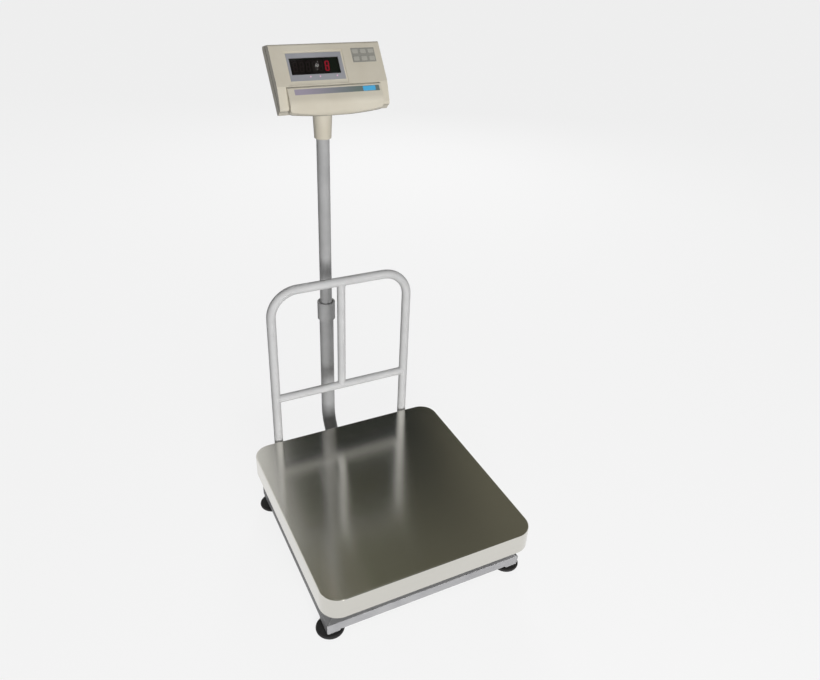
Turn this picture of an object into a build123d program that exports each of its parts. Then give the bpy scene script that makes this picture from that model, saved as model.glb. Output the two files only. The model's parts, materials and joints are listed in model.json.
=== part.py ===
from build123d import *
from math import cos, radians, sin
import os

# Platform scale in millimetres: stainless platter on a tube base with levelling feet, a guard rail
# behind it and a column that carries the indicator. X runs along the front edge, Y to the rear and
# Z up from the floor. The model is drawn about the platter's centre and moved once, at the end.

# Platter
platter_width = 500.0
platter_depth = 525.0
platter_top = 147.0
platter_sheet = 1.5
skirt_height = 52.0
platter_corner = 42.0
platter_edge = 3.0

# Base frame
frame_side_inset = 14.0
frame_end_inset = 32.0
frame_gap = 54.0
tube_width = 30.0
tube_height = 22.0
tube_wall = 2.0
beam_width = 30.0
beam_slot = 22.0

# Corner legs and levelling feet
leg_length = 50.0
leg_corner = 3.0
foot_inset = 25.0
foot_radius = 31.0
foot_height = 11.0
foot_crown = 3.0
foot_clearance = 0.6
stud_radius = 5.0
stud_height = 36.0
stud_flange = 10.0
locknut_height = 3.4
locknut_flats = 17.0
weld_nut_height = 8.0

# Load cell and load carrier
cell_length = 170.0
cell_width = 40.0
cell_height = 50.0
cell_spacer = 6.0
cell_spacer_length = 48.0
cell_spacer_width = 78.0
cell_bolt_pitch = 25.0
cell_bolt_radius = 4.0
cell_bolt_inset = 24.0
cell_bolt_head = 5.0
cell_eye_radius = 15.0
cell_eye_pitch = 50.0
carrier_height = 40.0
carrier_width = 34.0
carrier_side_inset = 12.0
carrier_end_inset = 92.5
carrier_spine_width = 60.0
pad_radius = 14.0
pad_height = 2.5
stop_radius = 4.0
stop_gap = 1.0

# Guard rail
guard_pitch = 350.0
guard_set_back = 17.5
guard_top = 561.0
guard_radius = 11.0
guard_wall = 1.5
guard_corner = 66.0
crossbar_height = 266.0
crossbar_radius = 10.0
guard_foot = 20.0
bracket_width = 30.0
bracket_height = 56.0
bracket_sheet = 12.0
bracket_web = 10.0
guard_bolt_radius = 4.0
guard_bolt_pitch = 30.0
guard_bolt_start = 11.0

# Column
column_set_back = 122.5
column_radius = 18.0
column_wall = 1.5
column_bend = 95.0
column_top = 454.0
mast_radius = 15.0
mast_wall = 1.5
mast_foot = 330.0
mast_top = 914.0
flange_width = 126.0
flange_height = 38.0
flange_sheet = 6.0
flange_bolt_pitch = 22.0
flange_bolt_start = 30.0
rib_length = 16.0
collar_radius = 22.5
collar_length = 49.0
collar_rim = 4.0
bush_length = 40.0
lock_boss_radius = 9.0
lock_boss_length = 7.0
lock_radius = 4.0
lock_head = 5.5

# Neck and tilt bracket
neck_height = 55.0
neck_foot_radius = 19.4
neck_top_radius = 22.0
neck_dome = 14.0
neck_bore_depth = 39.0
tongue_width = 24.0
tongue_radius = 14.0
tilt_radius = 4.0
tilt_rise = 59.0
tilt_forward = 13.0
lug_sheet = 8.0
lug_radius = 13.0
knob_radius = 14.0
knob_length = 18.0
clamp_screw_radius = 3.0

# Indicator housing, drawn flat with its face up, then tilted
face_angle = 53.4
face_rise = 90.0
face_forward = 20.0
housing_width = 246.0
housing_depth = 40.0
housing_split = 20.0
housing_wall = 3.0
housing_corner = 6.0
face_length = 90.0
apron_length = 44.0
apron_drop = 13.0
top_slope = 17.0
bottom_slope = 2.0
lip_width = 208.0
lip_start = 91.0
lip_rise = 4.0
lip_end = 149.0
lip_slope = 20.0
lip_arch = 7.0
lip_back = 30.0
lip_turn = 25.0
lip_round = 16.0
lip_back_round = 6.0
bay_left = -94.0
bay_right = 35.0
bay_top = 15.0
bay_bottom = 88.0
bay_depth = 2.0
film_left = -90.0
film_right = 31.0
film_top = 19.5
film_bottom = 79.0
surround_sheet = 1.0
window_left = -85.0
window_right = 23.0
window_top = 30.0
window_bottom = 66.0
window_sheet = 2.5
digit_count = 6
digit_pitch = 13.9
digit_left = -80.5
lamp_first = -46.0
lamp_pitch = 21.0
lamp_down = 5.0
lamp_radius = 1.6
strip_left = -90.0
strip_right = 99.0
strip_top = 99.0
strip_height = 12.0
strip_sheet = 0.8
strip_rise = 0.2
keypad_left = 55.0
keypad_width = 54.0
keypad_top = 13.0
keypad_height = 32.0
keypad_sheet = 1.0
key_columns = 3
key_rows = 2
key_width = 13.0
key_height = 9.0
key_rise = 0.9
key_travel = 0.6
board_length = 190.0
board_height = 84.0
board_sheet = 1.6
board_depth = 12.0
board_top = 8.0
standoff_radius = 3.5
battery_length = 90.0
battery_height = 50.0
battery_depth = 20.0
battery_top = 20.0
gland_radius = 8.0
gland_length = 16.0
gland_pitch = 120.0
gland_down = 112.0
case_screw_radius = 3.0
case_screw_top = 12.0
case_screw_bottom = 118.0

# Fits
running_fit = 0.05
assembly_gap = 0.3
bolt_clearance = 0.5

# Places worked out from the sizes above
rear_edge = platter_depth / 2
skirt_bottom = platter_top - skirt_height
frame_top = skirt_bottom - frame_gap
frame_bottom = frame_top - tube_height
frame_x = platter_width / 2 - frame_side_inset
frame_y = platter_depth / 2 - frame_end_inset
foot_x = frame_x - tube_width / 2
foot_y = frame_y - foot_inset
leg_bottom = foot_height + foot_clearance + locknut_height
cell_bottom = frame_top + cell_spacer
cell_top = cell_bottom + cell_height
carrier_bottom = cell_top + cell_spacer
carrier_top = carrier_bottom + carrier_height
cell_bolt_y = cell_length / 2 - cell_bolt_inset
carrier_length = platter_width - 2 * carrier_side_inset
carrier_pitch = platter_depth - 2 * carrier_end_inset
guard_y = rear_edge + guard_set_back
column_y = rear_edge + column_set_back
column_height = frame_bottom + tube_height / 2
lock_start = collar_radius + lock_boss_length - 1
neck_foot = mast_top - neck_bore_depth
tilt_y = column_y - tilt_forward
tilt_height = neck_foot + neck_height + tilt_rise
face_top_height = tilt_height + face_rise
rear_reach = column_y + lock_start + lock_head
centre_shift = (platter_depth / 2 - rear_reach) / 2


def block(x0, x1, y0, y1, z0, z1):
    middle = ((x0 + x1) / 2, (y0 + y1) / 2, (z0 + z1) / 2)
    return Pos(*middle) * Box(x1 - x0, y1 - y0, z1 - z0)


def rod(radius, start, end):
    line = Line(start, end)
    return extrude(Plane(origin=start, z_dir=line % 0) * Circle(radius), line.length)


def hexagon(flats, start, end):
    line = Line(start, end)
    outline = RegularPolygon(flats / 2, 6, major_radius=False)
    return extrude(Plane(origin=start, z_dir=line % 0) * outline, line.length)


def bolt(radius, start, head, end):
    # A hexagon head from start to head, then a shank to the far end
    return hexagon(3.3 * radius, start, head) + rod(radius, head, end)


def each_corner(x, y):
    return [(sx * x, sy * y) for sx in (-1, 1) for sy in (-1, 1)]


def save(name, *solids):
    placed = [Pos(0, centre_shift, 0) * solid for solid in solids]
    shape = placed[0] if len(placed) == 1 else Compound(children=placed)
    export_step(shape, f"parts/{name}.step")


def tilted(shape):
    # Local X is across the housing, local Y up its face and local Z out of the face
    return Location((0, column_y - face_forward, face_top_height), (face_angle, 0, 0)) * shape


def panel(left, right, top, bottom, low, high):
    return block(left, right, -bottom, -top, low, high)


# Platter: one pressed pan, rounded in plan, with a folded edge
def platter():
    outer_plan = RectangleRounded(platter_width, platter_depth, platter_corner)
    inner_plan = RectangleRounded(
        platter_width - 2 * platter_sheet, platter_depth - 2 * platter_sheet, platter_corner - platter_sheet
    )
    pan = Pos(0, 0, skirt_bottom) * extrude(outer_plan, skirt_height)
    pan = fillet(pan.faces().sort_by(Axis.Z)[-1].edges(), platter_edge)
    hollow = Pos(0, 0, skirt_bottom) * extrude(inner_plan, skirt_height - platter_sheet)
    hollow = fillet(hollow.faces().sort_by(Axis.Z)[-1].edges(), platter_edge - platter_sheet)
    return pan - hollow


# Base frame: four rectangular tubes mitred at the corners
def frame_tube(length, reach):
    plan = make_face(
        Polyline(
            (-length, -reach),
            (length, -reach),
            (length - tube_width, tube_width - reach),
            (tube_width - length, tube_width - reach),
            close=True,
        )
    )
    tube = Pos(0, 0, frame_bottom) * extrude(plan, tube_height)
    tunnel = block(
        -length,
        length,
        tube_wall - reach,
        tube_width - tube_wall - reach,
        frame_bottom + tube_wall,
        frame_top - tube_wall,
    )
    return tube - tunnel


def nut_bored(tube):
    # Each corner's underside is opened for the weld nut that stands on the leg plate
    reach = locknut_flats / 2 / cos(radians(30)) + bolt_clearance
    for x, y in each_corner(foot_x, foot_y):
        tube -= rod(reach, (x, y, frame_bottom - 1), (x, y, frame_bottom + tube_wall + 1))
    return tube


def front_tube():
    return nut_bored(frame_tube(frame_x, frame_y))


def side_tube(turn):
    return nut_bored(Rot(0, 0, turn) * frame_tube(frame_y, frame_x))


def rear_tube():
    tube = nut_bored(Rot(0, 0, 180) * frame_tube(frame_x, frame_y))
    z = column_height
    for x in flange_bolt_places():
        tube -= rod(guard_bolt_radius, (x, frame_y - tube_wall - 1, z), (x, frame_y + 1, z))
    return tube


def base_beam(side):
    near = beam_slot / 2
    far = near + beam_width
    run = frame_y - tube_width
    beam = block(near, far, -run, run, frame_bottom, frame_top)
    low = frame_bottom + tube_wall
    beam -= block(near + tube_wall, far - tube_wall, -run, run, low, frame_top - tube_wall)
    return beam if side > 0 else mirror(beam, Plane.YZ)


def corner_leg(sx, sy):
    # A plate under the end of the side tube, with the stud's weld nut on top of it
    leg = block(frame_x - tube_width, frame_x, frame_y - leg_length, frame_y, leg_bottom, frame_bottom)
    leg = fillet(leg.edges().filter_by(Axis.Z), leg_corner)
    leg += hexagon(
        locknut_flats, (foot_x, foot_y, frame_bottom), (foot_x, foot_y, frame_bottom + weld_nut_height)
    )
    leg -= rod(stud_radius + running_fit, (foot_x, foot_y, 0), (foot_x, foot_y, frame_top))
    leg = leg if sx > 0 else mirror(leg, Plane.YZ)
    return leg if sy > 0 else mirror(leg, Plane.XZ)


def foot_pad(x, y):
    # A rubber disc with a crowned top and a rounded rim
    rim = foot_radius - foot_crown
    profile = make_face(
        [
            Line((0, 0), (rim, 0)),
            ThreePointArc((rim, 0), (foot_radius, foot_height / 2 - 1), (rim, foot_height - foot_crown)),
            Line((rim, foot_height - foot_crown), (stud_flange + 2, foot_height)),
            Line((stud_flange + 2, foot_height), (0, foot_height)),
            Line((0, foot_height), (0, 0)),
        ]
    )
    disc = revolve(Plane.XZ * profile, Axis.Z)
    disc -= rod(stud_flange, (0, 0, foot_height - foot_crown), (0, 0, foot_height))
    disc -= rod(stud_radius, (0, 0, foot_height / 3), (0, 0, foot_height))
    return Pos(x, y, 0) * disc


def foot_stud(x, y):
    stud = rod(stud_radius, (0, 0, foot_height / 3), (0, 0, stud_height))
    stud += rod(stud_flange, (0, 0, foot_height - foot_crown), (0, 0, foot_height))
    return Pos(x, y, 0) * chamfer(stud.faces().sort_by(Axis.Z)[-1].edges(), 1)


def foot_locknut(x, y):
    nut = hexagon(locknut_flats, (x, y, leg_bottom - locknut_height), (x, y, leg_bottom))
    return nut - rod(stud_radius + running_fit, (x, y, 0), (x, y, leg_bottom + 1))


# Load cell with its two eyes joined by a slot, between two spacers
def load_cell():
    cell = block(
        -cell_width / 2, cell_width / 2, -cell_length / 2, cell_length / 2, cell_bottom, cell_top
    )
    middle = (cell_bottom + cell_top) / 2
    half = cell_width / 2 + 1
    eye = cell_eye_pitch / 2
    for y in (-eye, eye):
        cell -= rod(cell_eye_radius, (-half, y, middle), (half, y, middle))
    cell -= block(-half, half, -eye, eye, middle - 2, middle + 2)
    for y in cell_bolt_places():
        cell -= rod(cell_bolt_radius, (0, y, cell_bottom - 1), (0, y, cell_top + 1))
    return cell


def cell_bolt_places():
    half = cell_bolt_pitch / 2
    return [side * cell_bolt_y + step for side in (-1, 1) for step in (-half, half)]


def cell_bolt(y):
    # The rear pair is screwed up from the base beams, the front pair down from the carrier spine
    grip = cell_height - 6
    if y > 0:
        seat = frame_top
        return bolt(cell_bolt_radius, (0, y, seat - cell_bolt_head), (0, y, seat), (0, y, cell_bottom + grip))
    seat = carrier_top - tube_wall - cell_bolt_head
    return bolt(cell_bolt_radius, (0, y, seat + cell_bolt_head), (0, y, seat), (0, y, cell_top - grip))


def cell_spacer_plate(side, low, high):
    y0 = side * cell_bolt_y - cell_spacer_length / 2
    half = cell_spacer_width / 2 if side > 0 else cell_width / 2
    plate = block(-half, half, y0, y0 + cell_spacer_length, low, high)
    for y in cell_bolt_places():
        plate -= rod(cell_bolt_radius, (0, y, low - 1), (0, y, high + 1))
    return plate


def carrier_beam(side):
    half = carrier_length / 2
    y = side * carrier_pitch / 2
    y0 = y - carrier_width / 2
    y1 = y + carrier_width / 2
    beam = block(-half, half, y0, y1, carrier_bottom, carrier_top)
    beam -= block(
        -half, half, y0 + tube_wall, y1 - tube_wall, carrier_bottom + tube_wall, carrier_top - tube_wall
    )
    for x in (-foot_x, foot_x):
        beam -= rod(stop_radius, (x, y, carrier_bottom - 1), (x, y, carrier_top + 1))
    return beam


def carrier_spine():
    half = carrier_spine_width / 2
    run = carrier_pitch / 2 - carrier_width / 2
    spine = block(-half, half, -run, run, carrier_bottom, carrier_top)
    spine -= block(
        tube_wall - half, half - tube_wall, -run, run, carrier_bottom + tube_wall, carrier_top - tube_wall
    )
    floor_top = carrier_bottom + tube_wall
    seat = carrier_top - tube_wall - cell_bolt_head
    for y in cell_bolt_places():
        if y < 0:
            spine += rod(2.4 * cell_bolt_radius, (0, y, floor_top), (0, y, seat))
            spine -= rod(cell_bolt_radius, (0, y, carrier_bottom - 1), (0, y, seat))
            spine -= rod(2.6 * cell_bolt_radius, (0, y, seat), (0, y, carrier_top + 1))
    return spine


def carrier_pad(x, y):
    inward = foot_x - pad_radius - 2 * stop_radius
    px = inward if x > 0 else -inward
    return rod(pad_radius, (px, y, carrier_top), (px, y, carrier_top + pad_height))


def overload_stop(x, y):
    low = frame_top + stop_gap
    shank = rod(stop_radius, (x, y, low), (x, y, carrier_top))
    return shank + hexagon(3.3 * stop_radius, (x, y, carrier_bottom - 5), (x, y, carrier_bottom))


# Guard rail: a bent tube hoop with a crossbar and a centre bar coped to it
def guard_hoop():
    half = guard_pitch / 2
    path = FilletPolyline(
        (-half, guard_y, guard_foot),
        (-half, guard_y, guard_top),
        (half, guard_y, guard_top),
        (half, guard_y, guard_foot),
        radius=guard_corner,
    )
    ring = Circle(guard_radius) - Circle(guard_radius - guard_wall)
    hoop = sweep(Plane(origin=path @ 0, z_dir=path % 0) * ring, path)
    for sx in (-half, half):
        for z in guard_bolt_places():
            back = guard_y + guard_radius + 1
            hoop -= rod(guard_bolt_radius, (sx, guard_y - guard_radius - 1, z), (sx, back, z))
    return hoop


def guard_crossbar():
    half = guard_pitch / 2
    ends = (-half, guard_y, crossbar_height), (half, guard_y, crossbar_height)
    bar = rod(crossbar_radius, *ends) - rod(crossbar_radius - guard_wall, *ends)
    for x in (-half, half):
        bar -= rod(guard_radius, (x, guard_y, guard_foot), (x, guard_y, guard_top))
    return bar


def guard_centre_bar():
    bar = rod(crossbar_radius, (0, guard_y, crossbar_height), (0, guard_y, guard_top))
    bar -= rod(crossbar_radius - guard_wall, (0, guard_y, crossbar_height), (0, guard_y, guard_top))
    half = guard_pitch / 2
    bar -= rod(guard_radius, (-half, guard_y, guard_top), (half, guard_y, guard_top))
    bar -= rod(crossbar_radius, (-half, guard_y, crossbar_height), (half, guard_y, crossbar_height))
    return bar


def guard_bolt_places():
    low = frame_bottom + guard_bolt_start
    return [low, low + guard_bolt_pitch]


def saddle_front():
    return guard_y - guard_radius / 2 - bracket_sheet


def guard_bracket(x):
    # An arm from the rear tube with a gusset and an upright saddle coped to the hoop
    top = frame_bottom + bracket_height
    front = saddle_front()
    side = make_face(
        Polyline(
            (frame_y, frame_bottom),
            (front + bracket_sheet, frame_bottom),
            (front + bracket_sheet, top),
            (front, top),
            (front, frame_top + bracket_web),
            (front - bracket_web, frame_top),
            (frame_y, frame_top),
            close=True,
        )
    )
    arm = Pos(x - bracket_width / 2, 0, 0) * extrude(Plane.YZ * side, bracket_width)
    arm -= rod(guard_radius, (x, guard_y, frame_bottom - 1), (x, guard_y, top + 1))
    for z in guard_bolt_places():
        arm -= rod(guard_bolt_radius, (x, front - 1, z), (x, guard_y, z))
    return arm


def guard_bolt(x, z):
    seat = guard_y + guard_radius
    return bolt(guard_bolt_radius, (x, seat + 5, z), (x, seat, z), (x, saddle_front() + 1, z))


# Column: a bent lower tube on a welded flange, a collar, a bush and the straight mast
def column_tube():
    start = frame_y + flange_sheet / 2
    path = FilletPolyline(
        (0, start, column_height),
        (0, column_y, column_height),
        (0, column_y, column_top),
        radius=column_bend,
    )
    section = Plane(origin=path @ 0, z_dir=path % 0)
    tube = sweep(section * Circle(column_radius), path)
    bore = sweep(section * Circle(column_radius - column_wall), path)
    half = flange_width / 2
    z0 = column_height - flange_height / 2
    flange = block(-half, half, frame_y, frame_y + flange_sheet, z0, z0 + flange_height)
    flange = fillet(flange.edges().filter_by(Axis.Y), 5)
    ribs = column_rib(1) + column_rib(-1)
    tube = tube + flange + ribs - bore
    z = column_height
    for x in flange_bolt_places():
        tube -= rod(guard_bolt_radius, (x, frame_y - 1, z), (x, frame_y + flange_sheet + 1, z))
    return tube - lock_hole()


def column_rib(side):
    # A triangular gusset in the level plane between the flange and the tube
    root = frame_y + flange_sheet
    inner = column_radius - column_wall
    rib = make_face(
        Polyline(
            (side * inner, root),
            (side * (column_radius + rib_length / 4), root),
            (side * inner, root + rib_length),
            close=True,
        )
    )
    return Pos(0, 0, column_height - 2) * extrude(rib, 4)


def flange_bolt_places():
    far = flange_bolt_start + flange_bolt_pitch
    return [-far, -flange_bolt_start, flange_bolt_start, far]


def flange_bolt(x):
    seat = frame_y + flange_sheet
    inside = frame_y - tube_wall - 6
    z = column_height
    return bolt(guard_bolt_radius, (x, seat + 5, z), (x, seat, z), (x, inside, z))


def lock_hole():
    z = column_top - collar_length / 2
    far = column_y + collar_radius + lock_boss_length
    return rod(lock_radius + running_fit, (0, column_y, z), (0, far, z))


def column_collar():
    top = column_top + collar_rim
    low = top - collar_length
    collar = rod(collar_radius, (0, column_y, low), (0, column_y, top))
    collar = fillet(collar.edges(), 1.5)
    z = column_top - collar_length / 2
    edge = column_y + lock_start
    collar += rod(lock_boss_radius, (0, column_y + mast_radius, z), (0, edge, z))
    collar -= rod(column_radius, (0, column_y, low - 1), (0, column_y, top + 1))
    return collar - lock_hole()


def column_bush():
    low = column_top - bush_length
    bush = rod(column_radius - column_wall, (0, column_y, low), (0, column_y, column_top))
    bore = rod(mast_radius + running_fit, (0, column_y, mast_foot), (0, column_y, column_top + 1))
    return bush - bore - lock_hole()


def column_lock_bolt():
    z = column_top - collar_length / 2
    seat = column_y + lock_start
    tip = column_y + mast_radius + assembly_gap
    return bolt(lock_radius, (0, seat + lock_head, z), (0, seat, z), (0, tip, z))


def mast():
    tube = rod(mast_radius, (0, column_y, mast_foot), (0, column_y, mast_top))
    return tube - rod(mast_radius - mast_wall, (0, column_y, mast_foot), (0, column_y, mast_top))


# Neck: a tapered socket with a domed top and an upright tongue for the tilt bolt
def neck():
    top = neck_height
    profile = make_face(
        [
            Line((0, 0), (neck_foot_radius, 0)),
            Line((neck_foot_radius, 0), (neck_top_radius, top)),
            ThreePointArc(
                (neck_top_radius, top),
                (neck_top_radius * 0.72, top + neck_dome * 0.7),
                (0, top + neck_dome),
            ),
            Line((0, top + neck_dome), (0, 0)),
        ]
    )
    body = Pos(0, column_y, neck_foot) * revolve(Plane.XZ * profile, Axis.Z)
    ring = body.edges().filter_by(GeomType.CIRCLE).sort_by(Axis.Z)[0]
    body = fillet(ring, 1.2)
    foot = (column_y, neck_foot + neck_height - 4)
    root = Pos(*foot) * Rectangle(2 * neck_top_radius - 8, 8)
    outline = make_hull(root.edges() + (Pos(tilt_y, tilt_height) * Circle(tongue_radius)).edges())
    tongue = extrude(Plane.YZ * outline, tongue_width / 2, both=True)
    body += tongue
    body -= rod(mast_radius + running_fit, (0, column_y, neck_foot - 1), (0, column_y, mast_top))
    body -= tilt_bore(tongue_width)
    z = neck_foot + neck_height / 3
    return body - rod(clamp_screw_radius, (0, column_y + mast_radius, z), (0, column_y + 2 * mast_radius, z))


def tilt_bore(width):
    return rod(tilt_radius + running_fit, (-width, tilt_y, tilt_height), (width, tilt_y, tilt_height))


def neck_screw():
    z = neck_foot + neck_height / 3
    seat = column_y + neck_top_radius
    start = (0, column_y + mast_radius + assembly_gap, z)
    return rod(clamp_screw_radius, start, (0, seat, z)) + hexagon(10, (0, seat, z), (0, seat + 4, z))


def lug_outer():
    return tongue_width / 2 + assembly_gap + lug_sheet


def tilt_bolt():
    edge = lug_outer()
    start = (-edge - 5, tilt_y, tilt_height)
    tip = (edge + knob_length - 4, tilt_y, tilt_height)
    return bolt(tilt_radius, start, (-edge, tilt_y, tilt_height), tip)


def tilt_knob():
    # A moulded knob with six finger lobes, on the end of the tilt bolt
    lobes = Circle(knob_radius - 2)
    for step in range(6):
        angle = radians(60 * step)
        lobes += Pos((knob_radius - 5) * cos(angle), (knob_radius - 5) * sin(angle)) * Circle(5)
    knob = extrude(lobes, knob_length - 6)
    knob = fillet(knob.faces().sort_by(Axis.Z)[-1].edges(), 1)
    knob = Pos(0, 0, 6) * knob + rod(knob_radius - 6, (0, 0, 0), (0, 0, 6))
    knob -= rod(tilt_radius + running_fit, (0, 0, -1), (0, 0, knob_length - 3))
    return Pos(lug_outer() + assembly_gap, tilt_y, tilt_height) * Rot(0, 90, 0) * knob


# Indicator housing, in its own flat frame
def housing_profile():
    # Side outline from the top edge of the face, round the apron, to the back
    corners = [
        (0, 0),
        (-face_length, 0),
        (-face_length - apron_length, -apron_drop),
        (-face_length - apron_length - bottom_slope, -housing_depth),
        (top_slope, -housing_depth),
    ]
    return make_face(Polyline(*corners, close=True))


def slab(inset):
    outline = housing_profile()
    rounding = housing_corner
    if inset:
        outline = offset(outline, -inset, kind=Kind.INTERSECTION)
        rounding = housing_corner - inset
    outline = fillet(outline.vertices(), rounding)
    half = housing_width / 2 - inset
    return extrude(Plane.YZ * outline, half, both=True)


def lip():
    # The rounded lower lip: a side outline crossed with an arched front outline
    side = make_face(
        Polyline(
            (-lip_start, -6),
            (-lip_start, 0),
            (-lip_start - 5, lip_rise),
            (lip_slope - lip_end, lip_rise),
            (-lip_end, -apron_drop),
            (-lip_end + 1, -lip_back),
            (-face_length - apron_length + 8, -lip_back),
            (-lip_start - 10, -10),
            close=True,
        )
    )
    for place, radius in (
        ((lip_slope - lip_end, lip_rise), lip_turn),
        ((-lip_end, -apron_drop), lip_round),
        ((1 - lip_end, -lip_back), lip_back_round),
    ):
        side = fillet(side.vertices().sort_by_distance(place)[0], radius)
    half = lip_width / 2
    low = -lip_end + lip_arch
    front = make_face(
        [
            Line((-half, 0), (-half, low)),
            ThreePointArc((-half, low), (0, -lip_end), (half, low)),
            Line((half, low), (half, 0)),
            Line((half, 0), (-half, 0)),
        ]
    )
    front = fillet(front.vertices().sort_by(Axis.Y)[0:2], 6)
    body = extrude(Plane.YZ * side, half, both=True)
    cutter = Pos(0, 0, -housing_depth) * extrude(front, housing_depth + 2 * lip_rise)
    return body & cutter


def split_block(low, high):
    return block(-housing_width, housing_width, -2 * lip_end, 2 * lip_end, low, high)


def front_shell():
    shell = slab(0) + lip()
    shell -= slab(housing_wall)
    shell &= split_block(-housing_split, housing_depth)
    deep = -bay_depth
    shell -= panel(bay_left, bay_right, bay_top, bay_bottom, deep, 1)
    shell -= panel(window_left, window_right, window_top, window_bottom, -housing_wall - 1, 1)
    right = keypad_left + keypad_width
    shell -= panel(keypad_left, right, keypad_top, keypad_top + keypad_height, -keypad_sheet, 1)
    shell -= strip_box(2 * strip_sheet)
    return shell


def rear_shell():
    shell = slab(0) - slab(housing_wall)
    shell &= split_block(-housing_depth, -housing_split)
    for x, y in case_screw_places():
        shell += rod(2 * case_screw_radius, (x, y, housing_wall - housing_depth), (x, y, -housing_split))
        shell -= rod(case_screw_radius, (x, y, -housing_depth - 1), (x, y, -housing_split + 1))
    for x in (-gland_pitch / 2, gland_pitch / 2):
        start = (x, -gland_down, -housing_depth - 1)
        shell -= rod(gland_radius - 2, start, (x, -gland_down, housing_wall + 1 - housing_depth))
    return shell


def tilt_lug(side):
    # A side plate that reaches from the back of the rear shell round the tilt bolt
    back = tilt_y - (column_y - face_forward)
    rise = tilt_height - face_top_height
    up = back * cos(radians(face_angle)) + rise * sin(radians(face_angle))
    out = rise * cos(radians(face_angle)) - back * sin(radians(face_angle))
    root = Pos(up, -housing_depth + 1) * Rectangle(3 * lug_radius, 2)
    outline = make_hull(root.edges() + (Pos(up, out) * Circle(lug_radius)).edges())
    near = tongue_width / 2 + assembly_gap
    plate = extrude(Plane.YZ * outline, lug_sheet)
    plate = Pos(near if side > 0 else -near - lug_sheet, 0, 0) * plate
    return plate


def case_screw_places():
    x = housing_width / 2 - 3.5 * housing_wall
    return [(side * x, -down) for down in (case_screw_top, case_screw_bottom) for side in (-1, 1)]


def case_screw(x, y):
    head = rod(2 * case_screw_radius - 0.5, (x, y, -housing_depth - 2), (x, y, -housing_depth))
    head = fillet(head.edges().sort_by(Axis.Z)[0], 1)
    return head + rod(case_screw_radius, (x, y, -housing_depth), (x, y, -housing_split - 1))


def surround():
    low = -bay_depth
    sheet = panel(film_left, film_right, film_top, film_bottom, low, low + surround_sheet)
    sheet -= panel(window_left, window_right, window_top, window_bottom, low - 1, 1)
    for x, y in lamp_places():
        sheet -= rod(lamp_radius, (x, y, low - 1), (x, y, 1))
    return sheet


def window_lens():
    top = surround_sheet - bay_depth
    return panel(window_left, window_right, window_top, window_bottom, top - window_sheet, top)


def lamp_places():
    return [(lamp_first + lamp_pitch * step, -window_bottom - lamp_down) for step in (0, 1, 2.8)]


def lamp(x, y):
    low = -bay_depth
    return rod(lamp_radius, (x, y, low), (x, y, low + surround_sheet + 0.3))


def digit_module():
    top = surround_sheet - bay_depth - window_sheet
    right = digit_left + digit_count * digit_pitch
    body = panel(digit_left, right, window_top + 3, window_bottom - 3, -board_depth, top)
    for step in range(1, digit_count):
        x = digit_left + step * digit_pitch
        body -= panel(x - 0.4, x + 0.4, window_top, window_bottom, top - 1, top + 1)
    return body


def strip_box(rise):
    # The recess when drawn high, the film itself when drawn a little proud of the lip
    low = lip_rise - strip_sheet
    high = lip_rise + rise
    return panel(strip_left, strip_right, strip_top, strip_top + strip_height, low, high)


def key_places():
    x_step = keypad_width / key_columns
    y_step = keypad_height / key_rows
    x0 = keypad_left + x_step / 2
    y0 = keypad_top + y_step / 2
    columns = [x0 + x_step * step for step in range(key_columns)]
    rows = [-y0 - y_step * step for step in range(key_rows)]
    return [(x, y) for y in rows for x in columns]


def key_cap(x, y, grow, low, high):
    outline = RectangleRounded(key_width + 2 * grow, key_height + 2 * grow, 2)
    return Pos(x, y, low) * extrude(outline, high - low)


def keypad_panel():
    right = keypad_left + keypad_width
    sheet = panel(keypad_left, right, keypad_top, keypad_top + keypad_height, -keypad_sheet, 0)
    for x, y in key_places():
        sheet -= key_cap(x, y, assembly_gap, -keypad_sheet - 1, 1)
    return sheet


def key(x, y):
    cap = key_cap(x, y, 0, key_travel + assembly_gap / 3 - keypad_sheet, key_rise)
    return fillet(cap.faces().sort_by(Axis.Z)[-1].edges(), 0.3)


def circuit_board():
    half = board_length / 2
    return panel(-half, half, board_top, board_top + board_height, -board_depth - board_sheet, -board_depth)


def standoff_places():
    x = board_length / 2 - 2 * standoff_radius
    return [(side * x, -board_top - board_height * share) for side in (-1, 1) for share in (0.1, 0.9)]


def standoff(x, y):
    return rod(standoff_radius, (x, y, -board_depth), (x, y, -housing_wall))


def battery():
    half = battery_length / 2
    low = housing_wall - housing_depth
    return panel(-half, half, battery_top, battery_top + battery_height, low, low + battery_depth)


def cable_inlet(x):
    # A gland with a hexagon collar and a rounded, bored nose
    back = -housing_depth
    nose = rod(gland_radius - 1, (x, -gland_down, back - gland_length), (x, -gland_down, back - 4))
    nose = fillet(nose.edges().sort_by(Axis.Z)[0], 2)
    nose += hexagon(2 * gland_radius, (x, -gland_down, back - 4), (x, -gland_down, back))
    nose += rod(gland_radius - 2, (x, -gland_down, back), (x, -gland_down, back + housing_wall))
    inside = (x, -gland_down, back + housing_wall + 1)
    return nose - rod(gland_radius - 5, (x, -gland_down, back - gland_length - 1), inside)


os.makedirs("parts", exist_ok=True)

save("platter", platter())

save("base_tube_front", front_tube())
save("base_tube_rear", rear_tube())
save("base_tube_left", side_tube(-90))
save("base_tube_right", side_tube(90))
save("base_beams", base_beam(1), base_beam(-1))
save("corner_legs", *[corner_leg(sx, sy) for sx, sy in each_corner(1, 1)])
save("foot_locknuts", *[foot_locknut(x, y) for x, y in each_corner(foot_x, foot_y)])
for side, sx in (("left", -1), ("right", 1)):
    for end, sy in (("front", -1), ("rear", 1)):
        save(f"foot_pad_{end}_{side}", foot_pad(sx * foot_x, sy * foot_y))
        save(f"foot_stud_{end}_{side}", foot_stud(sx * foot_x, sy * foot_y))

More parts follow.
